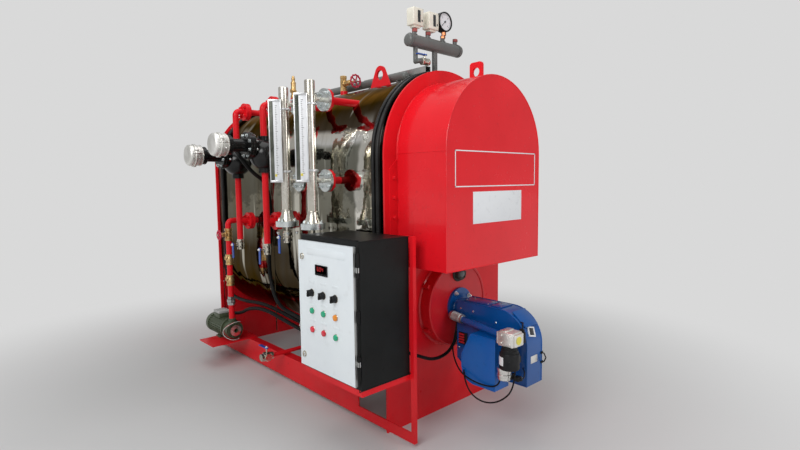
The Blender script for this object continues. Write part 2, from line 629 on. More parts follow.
def frontPlace(middle, slope=90.0, lean=0.0):
    # A frame on the housing's front or its rounded nose: local X to the right, local Y up, local Z out.
    s, c = math.sin(math.radians(slope)), math.cos(math.radians(slope))
    turn = Matrix(((1, 0, 0), (0, c, -s), (0, s, c))).to_4x4()
    return Matrix.Translation(middle) @ turn @ Matrix.Rotation(math.radians(lean), 4, "Z")


def makeBurner():
    low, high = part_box("burner_housing")
    half = burner["fanHalf"]
    flangeY = -0.09
    flange = Vector((0.006, flangeY, 0.634))
    steel = Work()
    steel.boltCircle(flange, ahead, 0.083, burner["flangeBolts"], burner["flangeBoltSize"], 0.55, True)
    steel.done("burnerFlangeBolts", "zincPlate")

    body = Work()
    top = 0.678
    seam = burner["seam"]
    nose = Vector((0, low.y + 0.17, top - 0.17))
    for side in (-1, 1):
        x = side * (half + seam * 0.3)
        path = [Vector((x, -0.128, top)), Vector((x, -0.25, top)), Vector((x, nose.y, top))]
        path += [Vector((x, nose.y - 0.17 * math.sin(a), nose.z + 0.17 * math.cos(a)))
                 for a in (math.pi / 2 * k / 12 for k in range(1, 13))]
        path += [Vector((x, low.y, 0.4)), Vector((x, low.y, low.z + 0.002))]
        body.pipe(path, 0.0035, 8)
        body.pipe([(x, low.y, low.z + 0.002), (x, -0.3, low.z + 0.002),
                   (x, -0.186, low.z + 0.002), (x, -0.127, low.z + 0.047)], 0.0025, 8)
        # The volute's lid line, a third of the way down the side.
        body.pipe([(x, -0.13, 0.596), (x, -0.26, 0.566), (x, -0.4, 0.548),
                   (x, -0.47, 0.5)], seam, 6)
    body.block((-0.046, -0.33, top), (0.046, -0.16, top + 0.004), 0.0015)
    body.block((-0.052, -0.415, top), (0.052, -0.345, top + 0.006), 0.002)
    lid = Matrix.Translation((0, nose.y - 0.112, nose.z + 0.1325)) @ Matrix.Rotation(math.radians(40), 4, "X")
    body.block((-0.055, -0.052, -0.004), (0.055, 0.052, 0.004), 0.002, lid)
    neck = Vector((0, flangeY, 0.614))
    body.turned([(0.064, 0), (0.063, 0.004), (0.059, 0.008), (0.056, 0.008), (0.056, 0.0)], neck, ahead, 48, 0.0, True)
    body.done("burnerSeams", "burnerBlue")

    screws = Work()
    size = burner["screwSize"]
    for y, z in ((-0.154, 0.638), (-0.242, 0.634), (-0.394, 0.6), (-0.49, 0.56), (-0.555, 0.535), (-0.56, 0.345),
                 (-0.21, 0.335), (-0.14, 0.41)):
        for side in (-1, 1):
            screws.bolt((side * half, y, z), (side, 0, 0), size)
    for x in (-0.036, 0.036):
        for y in (-0.172, -0.318, -0.355, -0.405):
            screws.bolt((x, y, top + 0.004), up, size * 0.8)
    screws.done("burnerScrews", "zincPlate")

    w = burnerWindow
    frameWork = Work()
    h, b = w["half"], w["border"]
    place = frontPlace(w["middle"], w["slope"], w["lean"])
    for a, c in (((-h, -h), (h, -h + b)), ((-h, h - b), (h, h)), ((-h, -h + b), (-h + b, h - b)),
                 ((h - b, -h + b), (h, h - b))):
        frameWork.block((*a, -0.002), (*c, 0.0055), 0.0015, place)
    frameWork.done("damperWindowFrame", "signWhite")
    glass = Work()
    glass.block((-h + b, -h + b, -0.002), (h - b, h - b, 0.003), 0.0006, place)
    glass.done("damperWindow", "glassDark")
    p = burnerPlate
    wide, tall = p["half"]
    blank = Work()
    place = frontPlace(p["middle"])
    blank.block((-wide, -tall, 0.0002), (wide, tall, 0.0016), 0.0005, place)
    for x in (-wide * 0.85, wide * 0.85):
        blank.turned([(0.0018, 0), (0.0018, 0.0008), (0.0008, 0.0014)], place @ Vector((x, 0, 0.0016)),
                     ahead, 10)
    blank.done("burnerBlankPlate", "turnedSilver")

    # Terminal block in a small recess under the gas coupling.
    block = Work()
    place = sidePlace((-0.172, 0.468))
    block.block((-0.03, -0.034, 0.0003), (0.03, 0.034, 0.005), 0.0012, place)
    block.done("terminalRecess", "softBlack")
    strips = Work()
    for k in range(4):
        z = -0.026 + k * 0.015
        strips.block((-0.026, z, 0.004), (0.012, z + 0.009, 0.011), 0.0012, place)
    strips.done("terminalStrips", "wireRed")

    # Lifting loop and air-damper stub at the housing's foot.
    loop = Work()
    loop.pipe([(0.068, low.y + 0.004, 0.455), (0.072, low.y - 0.012, 0.452),
               (0.074, low.y - 0.022, 0.43), (0.072, low.y - 0.012, 0.408),
               (0.068, low.y + 0.004, 0.405)], 0.0035, 10)
    loop.block((0.058, low.y - 0.004, 0.448), (0.078, low.y + 0.002, 0.462), 0.0015)
    loop.block((0.058, low.y - 0.004, 0.398), (0.078, low.y + 0.002, 0.412), 0.0015)
    loop.done("burnerLoop", "softBlack")

    # Air box: lid lip and screws.
    low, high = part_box("burner_air_box")
    lip = Work()
    x = -0.183
    lip.pipe([(x, high.y - 0.064, high.z - 0.002), (x, high.y - 0.002, high.z - 0.122),
              (x, high.y - 0.001, low.z + 0.077), (x, high.y - 0.022, low.z + 0.024),
              (x, high.y - 0.076, low.z + 0.001), (x, low.y + 0.002, low.z + 0.001)], 0.0028, 8)
    lip.pipe([(x, low.y + 0.001, low.z + 0.001), (x, low.y + 0.001, high.z - 0.001),
              (x, high.y - 0.064, high.z - 0.002)], 0.0028, 8)
    lip.block((x + 0.02, low.y - 0.001, low.z + 0.02), (-burner["fanHalf"] - 0.01, low.y + 0.002, low.z + 0.12), 0.002)
    lip.done("airBoxSeams", "airBoxBlue")


gasTrain = {"ribs": 7, "labelTurn": 200.0}


def makeGasTrain():
    start = Vector((-0.0853, -0.1046, 0.5934))
    end = Vector((-0.162, -0.498, 0.577))
    way = (end - start).normalized()
    unions = Work()
    profile = [(0.0165, 0), (0.0265, 0.001), (0.0265, 0.02), (0.0225, 0.022)]
    for k in range(gasTrain["ribs"]):
        z = 0.025 + k * 0.0085
        profile += [(0.0228, z), (0.0268, z + 0.0022), (0.0268, z + 0.0052), (0.0228, z + 0.0074)]
    profile += [(0.0235, 0.088), (0.0235, 0.0985), (0.0175, 0.1)]
    unions.turned(profile, start, way, 40)
    feed = Vector((*feedAt, 0.44))
    unions.turned([(0.024, 0), (0.029, 0.002), (0.029, 0.018), (0.025, 0.02)], feed, up, 8)
    unions.turned([(0.025, 0.019), (0.03, 0.021), (0.03, 0.042), (0.026, 0.044)], feed, up, 8, 0.3)
    unions.turned([(0.024, 0.043), (0.027, 0.046), (0.027, 0.063), (0.0235, 0.065)], feed, up, 6)
    unions.done("ribbedUnions", "galvanised", replaces=("pipe_unions",))

    low, high, mid = spanOf("gas_valve")
    valve = Work()
    valve.block((low.x + 0.004, low.y + 0.012, low.z), (high.x - 0.004, high.y - 0.012, high.z), 0.006, steps=3)
    valve.block((low.x + 0.01, low.y, low.z + 0.006), (high.x - 0.01, low.y + 0.013, high.z - 0.006), 0.003)
    valve.block((low.x + 0.01, high.y - 0.013, low.z + 0.006), (high.x - 0.01, high.y, high.z - 0.006), 0.003)
    valve.block((low.x, low.y + 0.02, low.z + 0.012), (low.x + 0.006, high.y - 0.03, high.z - 0.01), 0.0015)
    valve.turned([(0.026, 0), (0.026, 0.006), (0.022, 0.008), (0.0, 0.008)], (mid.x, low.y + 0.0065, mid.z), ahead, 36)
    valve.turned([(0.01, 0), (0.01, 0.004), (0.007, 0.006), (0, 0.006)],
                 (low.x + 0.005, mid.y - 0.015, mid.z + 0.008), left, 20)
    for y in (low.y + 0.026, high.y - 0.036):
        for z in (low.z + 0.018, high.z - 0.016):
            valve.bolt((low.x, y, z), left, 0.0075)
    for x in (low.x + 0.017, high.x - 0.017):
        for z in (low.z + 0.013, high.z - 0.013):
            valve.bolt((x, low.y + 0.003, z), ahead, 0.008)
    valve.block((low.x + 0.012, high.y - 0.055, high.z - 0.001), (high.x - 0.012, high.y - 0.02, high.z + 0.005), 0.002)
    valve.done("gasValveBody", "castSilver", replaces=("gas_valve",))
    label = Work()
    label.turned([(0.0205, 0), (0.0205, 0.0012), (0.0, 0.0014)], (mid.x - 0.006, low.y - 0.0013, mid.z), ahead, 32)
    label.done("valveEndLabel", "signYellow")
    plug = Work()
    plug.block((high.x - 0.004, low.y + 0.004, low.z + 0.01), (high.x + 0.016, low.y + 0.04, high.z - 0.008), 0.003)
    plug.block((high.x + 0.002, low.y + 0.008, high.z - 0.012), (high.x + 0.013, low.y + 0.034, high.z + 0.006), 0.003)
    plug.pipe([(high.x + 0.008, low.y + 0.02, high.z + 0.004), (high.x + 0.01, low.y + 0.02, high.z + 0.022),
               (high.x + 0.03, low.y + 0.03, high.z + 0.03), (-0.069, low.y + 0.06, high.z + 0.022)], 0.0035, 10)
    plug.done("valvePlug", "softBlack")

    low, high, mid = spanOf("gas_actuator")
    coil = Work()
    coil.turned([(0.034, 0.0), (0.047, 0.001), (0.0495, 0.004), (0.0495, 0.078), (0.047, 0.082), (0.044, 0.083),
                 (0.044, 0.088), (0.042, 0.092), (0.042, 0.098), (0.038, 0.101), (0.038, 0.112)],
                (mid.x, mid.y, low.z), up, 48)
    coil.block((mid.x + 0.03, mid.y - 0.025, low.z + 0.02), (mid.x + 0.066, mid.y + 0.018, low.z + 0.055), 0.004)
    coil.done("gasCoil", "softBlack", replaces=("gas_actuator",))
    label = Work()
    outer, inner = [], []
    for k in range(9):
        angle = math.radians(gasTrain["labelTurn"] - 78 + k * 7)
        way = Vector((math.cos(angle), math.sin(angle), 0))
        outer.append(way * 0.0503)
        inner.append(way * 0.0492)
    outline = outer + inner[::-1]
    label.pressed(outline, (mid.x, mid.y, low.z + 0.024), (0, 0, 0.042))
    label.done("coilBlankLabel", "signWhite")

    low, high, mid = spanOf("gas_filter")
    bowl = Work()
    bowl.turned([(0.02, 0.0), (0.031, 0.001), (0.033, 0.004), (0.033, 0.016), (0.0365, 0.018), (0.0365, 0.03),
                 (0.034, 0.032), (0.034, 0.047), (0.0368, 0.049), (0.0368, 0.062)], (mid.x, mid.y, low.z), up, 48)
    bowl.boltCircle((mid.x, mid.y, low.z + 0.001), -up, 0.024, 3, 0.008)
    bowl.done("filterBowl", "turnedSilver", replaces=("gas_filter",))
    plugs = Work()
    plugs.block((mid.x + 0.022, mid.y - 0.03, low.z - 0.004), (mid.x + 0.052, mid.y - 0.002, low.z + 0.024), 0.003)
    plugs.block((mid.x + 0.03, mid.y - 0.062, low.z - 0.008), (mid.x + 0.06, mid.y - 0.034, low.z + 0.016), 0.003)
    plugs.turned([(0.008, 0), (0.008, 0.012), (0.006, 0.016), (0.0045, 0.017)],
                 (mid.x + 0.045, mid.y - 0.056, low.z + 0.004), ahead, 14)
    plugs.pipe([(mid.x + 0.045, mid.y - 0.07, low.z + 0.004), (mid.x + 0.062, mid.y - 0.072, low.z + 0.012),
                (mid.x + 0.085, mid.y - 0.06, low.z + 0.03), (-0.069, mid.y - 0.03, low.z + 0.034)], 0.003, 10)
    plugs.done("filterPlugs", "softBlack")


cabinetTrim = {"face": -0.825, "displayMiddle": (0.096, 0.918), "displayHalf": (0.052, 0.026)}
panelLamps = {"lensGreen": ((0.185, 0.703), (0.085, 0.703), (-0.015, 0.606)),
              "lensAmber": ((-0.015, 0.703),), "lensRed": ((0.185, 0.606), (0.085, 0.606))}
digitParts = {"0": "abcdef", "4": "bcfg", "6": "acdefg"}


def doorPlace(y, z):
    # Local X runs to the door's right as seen from outside, local Y up, local Z out.
    turn = Matrix(((0, 0, -1), (-1, 0, 0), (0, 1, 0))).to_4x4()
    return Matrix.Translation((cabinetTrim["face"], y, z)) @ turn


def makeCabinet():
    low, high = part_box("cabinet")
    doorLow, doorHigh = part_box("cabinet_door")
    lip = Work()
    for z in (high.z - 0.001, low.z + 0.001):
        lip.pipe([(low.x + 0.002, low.y + 0.001, z), (low.x + 0.2, low.y + 0.001, z), (high.x, low.y + 0.001, z)],
                 0.0022, 8)
    lip.pipe([(low.x + 0.002, low.y + 0.001, low.z), (low.x + 0.002, low.y + 0.001, 0.7),
              (low.x + 0.002, low.y + 0.001, high.z)], 0.0022, 8)
    lip.block((low.x + 0.012, low.y + 0.01, high.z - 0.001), (low.x + 0.02, high.y - 0.01, high.z + 0.006), 0.002)
    for z in (0.46, 0.731, 1.0):
        lip.turned([(0.0065, -0.028), (0.0075, -0.026), (0.0075, 0.026), (0.0065, 0.028)],
                   (-0.8135, -0.1755, z), up, 16)
    lip.done("cabinetLips", "cabinetBlack")

    face = cabinetTrim["face"]
    edge = Work()
    corners = [Vector((face - 0.0002, y, z)) for y, z in (
        (doorLow.y + 0.012, doorLow.z + 0.012), (doorHigh.y - 0.012, doorLow.z + 0.012),
        (doorHigh.y - 0.012, doorHigh.z - 0.012), (doorLow.y + 0.012, doorHigh.z - 0.012))]
    edge.pipe(corners, 0.0009, 6, True)
    caption = doorPlace((doorLow.y + doorHigh.y) / 2, doorHigh.z - 0.05)
    edge.block((-0.16, -0.018, 0), (0.16, 0.018, 0.0012), 0.0005, caption)
    for y in (0.185, 0.085, -0.015):
        for z, half in ((0.745, 0.022), (0.652, 0.022), (0.852, 0.024)):
            edge.block((-half, -0.006, 0), (half, 0.006, 0.0012), 0.0004, doorPlace(y, z))
    edge.done("doorTrim", "doorWhite", "door")

    seal = Work()
    inset = [Vector((-0.8042, y, z)) for y, z in (
        (doorLow.y + 0.035, doorLow.z + 0.03), (doorHigh.y - 0.03, doorLow.z + 0.03),
        (doorHigh.y - 0.03, doorHigh.z - 0.03), (doorLow.y + 0.035, doorHigh.z - 0.03))]
    seal.pipe(inset, 0.0018, 8, True)
    seal.done("doorSeal", "softBlack", "door")

    y, z = cabinetTrim["displayMiddle"]
    wide, tall = cabinetTrim["displayHalf"]
    place = doorPlace(y, z)
    display = Work()
    display.block((-wide, -tall, 0), (wide, tall, 0.006), 0.002, place)
    for k in range(4):
        display.block((-0.034 + k * 0.021, -0.021, 0.005), (-0.022 + k * 0.021, -0.015, 0.0075), 0.001, place)
    display.done("controllerBezel", "softBlack", "door")
    digits = Work()
    bars = {"a": (0, 1, 1), "b": (1, 0.5, 0), "c": (1, -0.5, 0), "d": (0, -1, 1),
            "e": (-1, -0.5, 0), "f": (-1, 0.5, 0), "g": (0, 0, 1)}
    for k, figure in enumerate("604"):
        for part in digitParts[figure]:
            u, v, flat = bars[part]
            cx = -0.024 + k * 0.019 + u * 0.0055
            cy = 0.006 + v * 0.0095
            hx, hy = (0.0045, 0.0012) if flat else (0.0012, 0.0042)
            digits.block((cx - hx, cy - hy, 0.0055), (cx + hx, cy + hy, 0.0066), 0.0003, place, 1)
    digits.done("controllerDigits", "digitRed", "door")

    rings = Work()
    for finish, spots in panelLamps.items():
        lens = Work()
        for ly, lz in spots:
            at = (face, ly, lz)
            rings.turned([(0.015, 0), (0.017, 0.0004), (0.017, 0.0016), (0.0162, 0.0024), (0.015, 0.0024)],
                         at, left, 32, 0.0, True)
            dome = [(0.0154, 0.0), (0.0154, 0.007), (0.0138, 0.0104), (0.0085, 0.0128), (0.0, 0.0135)]
            lens.turned(dome, at, left, 28)
            for k in range(3):
                radius = 0.0046 + k * 0.003
                lens.ring((face - 0.0124 + k * 0.0011, ly, lz), left, radius, 0.0006, 24, 6)
        lens.done(finish + "Caps", finish, "door", "lamp_lens", ("door_lamps",) if finish == "lensGreen" else ())
    rings.done("lampRings", "nickelPlate", "door")

    locks = Work()
    for lz in (0.459, 0.974):
        at = (face, 0.268, lz)
        locks.turned([(0.016, 0), (0.016, 0.003), (0.013, 0.006), (0.009, 0.007), (0.009, 0.01), (0.0, 0.01)],
                     at, left, 28)
        locks.block((-0.0035, -0.014, 0.0085), (0.0035, 0.014, 0.0125), 0.0015, doorPlace(0.268, lz))
    locks.done("doorLocks", "nickelPlate", "door")
    for name in ("near", "middle", "far"):
        low, high, mid = spanOf("selector_" + name)
        at = (face - 0.001, mid.y, 0.795)
        knob = Work()
        knob.turned([(0.0186, 0), (0.0186, 0.005), (0.0155, 0.0075), (0.0145, 0.022), (0.012, 0.025),
                     (0.0, 0.0255)], at, left, 36, 0.0, False, (12, 0.0004))
        place = doorPlace(mid.y, 0.795)
        knob.block((-0.004, -0.017, 0.007), (0.004, 0.017, 0.0325), 0.002, place)
        knob.done("knob_" + name, "softBlack", "selector_" + name, replaces=("selector_" + name,))
        mark = Work()
        mark.block((-0.0008, 0.003, 0.0322), (0.0008, 0.0155, 0.0334), 0.0003, place)
        mark.done("knobMark_" + name, "signWhite", "selector_" + name)
        collar = Work()
        collar.ring((face - 0.001, mid.y, 0.795), left, 0.0195, 0.0012, 36, 8)
        collar.done("knobCollar_" + name, "nickelPlate", "door")


gaugeLook = {"turn": 55.0, "half": 0.036, "ticks": 40, "tickLow": 0.1, "tickSpan": 0.82}


def makeColumns():
    welds = Work()
    bolts = Work()
    for y in columnYs:
        welds.turned([(0.046, 0.0), (0.044, 0.012), (0.034, 0.042), (0.0305, 0.066)], (columnX, y, 1.124), up, 36)
        welds.turned([(0.0284, 0), (0.0262, 0.0035), (0.0165, 0.006), (0.0, 0.007)], (columnX, y, 1.8995), up, 36)
        for z in (1.126, 1.19):
            welds.ring((columnX, y, z), up, 0.0306 if z > 1.13 else 0.045, 0.0022, 36, 8)
        for z in (1.36, 1.807):
            welds.ring((-0.6305, y, z), left, 0.0225, 0.002, 30, 8)
            bolts.boltCircle((-0.575, y, z), left, 0.047, 4, 0.0185, 0.785, True)
        bolts.boltCircle((columnX, y, 1.124), up, 0.053, 4, 0.0185, 0.5, True)
        bolts.boltCircle((columnX, y, 1.06), -up, 0.053, 4, 0.0185, 0.5, True)
    welds.done("columnWelds", "stainlessTube")
    bolts.done("columnBolts", "zincPlate")


def makeGauges():
    low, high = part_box("level_gauges")
    turn = math.radians(gaugeLook["turn"])
    out = Vector((-math.cos(turn), -math.sin(turn), 0))
    side = Vector((-math.sin(turn), math.cos(turn), 0))
    half = gaugeLook["half"]
    shell, flaps, scale, ticks, marks = Work(), Work(), Work(), Work(), Work()
    for y in (0.403, 0.679):
        # Local X to the viewer's right, local Y up the scale, local Z out of the face.
        place = Matrix.Translation((-0.725, y, 0)) @ Matrix((
            (-side.x, 0, out.x, 0), (-side.y, 0, out.y, 0), (0, 1, 0, 0), (0, 0, 0, 1)))
        bottom, top = low.z + 0.001, high.z - 0.001
        shell.block((-half, bottom, -0.013), (half, top, 0.004), 0.0025, place)
        shell.block((-half, bottom, 0.003), (-half + 0.006, top, 0.011), 0.0015, place)
        shell.block((half - 0.004, bottom, 0.003), (half, top, 0.011), 0.0015, place)
        for z in (bottom, top - 0.012):
            shell.block((-half, z, 0.003), (half, z + 0.012, 0.0105), 0.002, place)
        flaps.block((-half + 0.0065, bottom + 0.013, 0.0035), (-0.0108, top - 0.013, 0.0075), 0.001, place)
        for k in range(44):
            z = bottom + 0.016 + k * 0.0101
            flaps.block((-half + 0.0075, z, 0.007), (-0.0118, z + 0.0078, 0.0084), 0.0005, place, 1)
        scale.block((-0.01, bottom + 0.013, 0.0035), (half - 0.0045, top - 0.013, 0.007), 0.0008, place)
        count = gaugeLook["ticks"]
        for k in range(count + 1):
            z = bottom + (top - bottom) * (gaugeLook["tickLow"] + k * gaugeLook["tickSpan"] / count)
            wide = 0.012 if k % 5 == 0 else 0.007
            ticks.block((0.002, z, 0.0068), (0.002 + wide, z + 0.0022, 0.0078), 0.0003, place, 1)
        marks.block((-0.0085, bottom + 0.034, 0.0068), (0.0035, bottom + 0.048, 0.0085), 0.0006, place)
        for z in (low.z + 0.065, high.z - 0.052):
            shell.turned([(0.0355, -0.006), (0.0375, -0.005), (0.0375, 0.005), (0.0355, 0.006)],
                         (columnX, y + 0.009, z), up, 40)
            shell.bolt(Vector((columnX, y + 0.009, z)) + Vector((0.2, -0.98, 0)) * 0.0365, (0.2, -0.98, 0), 0.011)
            shell.block((-0.006, -0.005, -0.052), (0.006, 0.005, -0.012), 0.001, place @ Matrix.Translation((0, z, 0)))
    shell.done("gaugeChannels", "gaugeSilver", replaces=("level_gauges",))
    flaps.done("gaugeFlaps", "flapGrey")
    scale.done("gaugeScales", "signWhite")
    ticks.done("gaugeTicks", "softBlack")
    marks.done("gaugeMarks", "signYellow", slot="lever_blue")


floatLook = {"heads": ((1.042, 1.5851), (1.435, 1.5371)), "boltSize": 0.0195}


def makeFloats():
    bolts, castings, heads, clamps = Work(), Work(), Work(), Work()
    for y, z in floatLook["heads"]:
        castings.ring((-0.733, y, z), left, 0.083, 0.002, 48, 8)
        castings.ring((-0.7155, y, z), left, 0.0842, 0.0016, 48, 8)
        bolts.boltCircle((-0.733, y, z), left, 0.068, 8, floatLook["boltSize"], 0.39)
        bolts.boltCircle((-0.697, y, z), -left, 0.068, 8, floatLook["boltSize"], 0.39, True)
        castings.turned([(0.059, 0), (0.059, 0.007), (0.056, 0.01), (0.041, 0.012)], (-0.8435, y, z), -left, 40)
        bolts.boltCircle((-0.843, y, z), -left, 0.05, 6, 0.012, 0.2)
        head = [(0.0, 0.0), (0.058, 0.0005), (0.066, 0.005), (0.068, 0.012), (0.068, 0.038), (0.0665, 0.04),
                (0.0665, 0.043), (0.0735, 0.045), (0.0745, 0.048), (0.0745, 0.056), (0.0725, 0.059),
                (0.0665, 0.06), (0.0665, 0.063), (0.07, 0.066), (0.0692, 0.078), (0.0665, 0.086),
                (0.06, 0.0915), (0.05, 0.0938), (0.025, 0.0944), (0.0, 0.0946)]
        heads.turned(head, (-0.8603, y, z), left, 56)
        for angle in (0.5, 2.6, 4.7):
            spot = Vector((-0.911, y + 0.072 * math.cos(angle), z + 0.072 * math.sin(angle)))
            way = Vector((0, math.cos(angle), math.sin(angle)))
            heads.block((-0.012, -0.011, -0.004), (0.012, 0.011, 0.0045), 0.002, standing(spot, way))
        clamps.pipe([(-0.878, y - 0.066, z + 0.012), (-0.893, y - 0.0715, z + 0.012), (-0.925, y - 0.0715, z + 0.012),
                     (-0.94, y - 0.065, z + 0.012)], 0.0035, 10)
        clamps.bolt((-0.889, y - 0.069, z - 0.022), ahead, 0.01)
        clamps.bolt((-0.934, y - 0.066, z - 0.022), ahead, 0.008)
        clamps.ring((-0.8705, y, z), left, 0.0685, 0.0015, 48, 8)
    castings.done("chamberRims", "castingBlack")
    bolts.done("chamberBolts", "zincPlate")
    heads.done("floatHousings", "castSilver", replaces=("float_heads",))
    clamps.done("floatClamps", "turnedSilver")


valveStems = {"column_lever_front": ("X", -0.7155, 0.412, 1.03), "column_lever_rear": ("X", -0.7155, 0.688, 1.03),
              "float_lever_front": ("X", -0.6605, 1.042, 0.918), "float_lever_rear": ("X", -0.6605, 1.435, 0.918),
              "skid_lever": ("Z", -0.634, 1.05, 0.2525), "header_lever": ("Z", -0.112, 0.07, 2.0555)}


def makeValves():
    trim = Work()
    for y in columnYs:
        for z in (1.012, 1.048):
            trim.turned([(0.028, -0.008), (0.031, -0.006), (0.031, 0.006), (0.028, 0.008)], (columnX, y, z), up, 6)
        trim.turned([(0.03, -0.004), (0.033, 0), (0.03, 0.004)], (columnX, y, 1.03), up, 32)
    for y in floatYs:
        for z in (0.902, 0.934):
            trim.turned([(0.026, -0.007), (0.029, -0.005), (0.029, 0.005), (0.026, 0.007)], (-0.607, y, z), up, 6)
    skidHex = [(0.0255, -0.006), (0.029, -0.004), (0.029, 0.006), (0.026, 0.008)]
    headerHex = [(0.019, -0.006), (0.0215, -0.004), (0.0215, 0.006), (0.019, 0.008)]
    for profile, at, way in ((skidHex, (-0.634, 1.03, 0.197), ahead), (skidHex, (-0.634, 1.07, 0.197), -ahead),
                             (headerHex, (-0.092, 0.07, 2.021), (1, 0, 0)),
                             (headerHex, (-0.132, 0.07, 2.021), left)):
        trim.turned(profile, at, way, 6)
    trim.done("valveHexes", "nickelPlate")
    for body, (axis, x, y, z) in valveStems.items():
        nut = Work()
        way = left if axis == "X" else up
        at = Vector((x, y, z)) + way * 0.0015
        nut.turned([(0.0085, 0), (0.0095, 0.001), (0.0095, 0.0075), (0.008, 0.009)], at, way, 6)
        nut.turned([(0.005, 0.008), (0.005, 0.013), (0.004, 0.014)], at, way, 12)
        nut.done("nut_" + body, "signWhite", body, "zinc_plate")

    brass = Work()
    low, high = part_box("gate_valve")
    x, y = feedAt
    brass.turned([(0.024, 0.0), (0.0285, 0.001), (0.0285, 0.02), (0.0245, 0.022), (0.0225, 0.026), (0.0265, 0.034),
                  (0.0265, 0.06), (0.0225, 0.066), (0.0245, 0.071), (0.0285, 0.073), (0.0285, 0.091),
                  (0.024, 0.092)], (x, y, low.z), up, 12)
    brass.turned([(0.02, 0), (0.022, 0.001), (0.022, 0.01), (0.018, 0.012), (0.015, 0.02), (0.0165, 0.022),
                  (0.0165, 0.032), (0.011, 0.036), (0.009, 0.044), (0.0, 0.045)], (x - 0.014, y, 0.972), left, 24)
    brass.turned([(0.0165, 0.022), (0.018, 0.023), (0.018, 0.031), (0.0165, 0.032)], (x - 0.014, y, 0.972), left, 6)
    brass.done("gateValveBrass", "castBrass", replaces=("gate_valve",))
    checks = Work()
    for bottom, top in ((0.745, 0.825), (0.588, 0.668)):
        tall = top - bottom
        checks.turned([(0.024, 0.0), (0.0285, 0.001), (0.0285, 0.016), (0.025, 0.018), (0.0275, 0.028),
                       (0.0295, 0.04), (0.0275, 0.052), (0.025, tall - 0.018), (0.0285, tall - 0.016),
                       (0.0285, tall - 0.001), (0.024, tall)], (x, y, bottom), up, 12)
        checks.turned([(0.016, 0), (0.018, 0.002), (0.018, 0.024), (0.015, 0.027), (0.0, 0.028)],
                      Vector((x, y, bottom + 0.044)) + Vector((-0.007, 0, 0.004)), (-1, 0, 0.3), 6)
    checks.done("checkValveBrass", "castBrass", replaces=("check_valves",))


def makeWheels():
    for body, node, at, axis, radius in (("gate_wheel", "gate_wheel", (-0.672, 1.64, 0.972), left, 0.04),
                                         ("vent_wheel", "vent_wheel", (0, 0.846, 2.043), ahead, 0.05)):
        wheel = Work()
        wheel.ring(at, axis, radius - 0.0085, 0.0062, 72, 12, (12, 0.002))
        wheel.turned([(0.012, -0.007), (0.014, -0.005), (0.014, 0.004), (0.012, 0.006)], at, axis, 24)
        place = standing(at, axis)
        for k in range(5):
            angle = math.tau * k / 5
            way = Vector((math.cos(angle), math.sin(angle), 0))
            points = [place @ (way * 0.01), place @ (way * (radius * 0.5) + Vector((0, 0, 0.0015))),
                      place @ (way * (radius - 0.0085))]
            wheel.pipe(points, 0.0048, 10)
        wheel.done(body + "Rim", "wheelRed", body, replaces=(node,))
        nut = Work()
        nut.turned([(0.0075, 0.0045), (0.0085, 0.0055), (0.0085, 0.0105), (0.007, 0.0115)], at, axis, 6)
        nut.done(body + "Nut", "nickelPlate", body)
    vent = Work()
    low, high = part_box("vent_valve")
    z = 2.043
    vent.turned([(0.0225, 0.0), (0.024, 0.001), (0.024, 0.018), (0.0225, 0.02), (0.0215, 0.028), (0.0235, 0.036),
                 (0.0235, 0.074), (0.0215, 0.082), (0.0225, 0.087), (0.024, 0.088), (0.024, 0.106),
                 (0.0225, 0.108)], (0, 0.985, low.z), up, 8)
    vent.turned([(0.02, 0), (0.022, 0.002), (0.022, 0.02), (0.0185, 0.023), (0.0165, 0.055), (0.019, 0.057),
                 (0.019, 0.068), (0.013, 0.072), (0.008, 0.076), (0.008, 0.124), (0.0, 0.125)],
                (0, 0.983, z), ahead, 24)
    vent.done("ventBrass", "castBrass", replaces=("vent_valve",))
    low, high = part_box("safety_valve")
    tall = high.z - low.z
    safety = Work()
    safety.turned([(0.021, 0.0), (0.0245, 0.001), (0.0245, 0.02), (0.02, 0.022), (0.018, 0.034), (0.0225, 0.046),
                   (0.0245, 0.052), (0.0245, 0.062), (0.02, 0.066), (0.0195, 0.11), (0.021, 0.112),
                   (0.021, 0.122), (0.016, 0.128), (0.013, 0.142), (0.0145, 0.144), (0.0145, 0.158),
                   (0.011, 0.162), (0.011, tall - 0.004), (0.008, tall)],
                  (0, (low.y + high.y) / 2, low.z), up, 24)
    safety.turned([(0.0225, 0.002), (0.0248, 0.003), (0.0248, 0.018), (0.0225, 0.019)],
                  (0, (low.y + high.y) / 2, low.z), up, 6)
    safety.turned([(0.014, 0), (0.016, 0.001), (0.016, 0.006), (0.0, 0.006)],
                  (low.x + 0.0065, (low.y + high.y) / 2, low.z + 0.056), left, 20)
    safety.done("safetyBrass", "castBrass", replaces=("safety_valve",))


pumpLook = {"fins": 26, "finTall": 0.0075, "axisZ": 0.254, "motorRadius": 0.066}


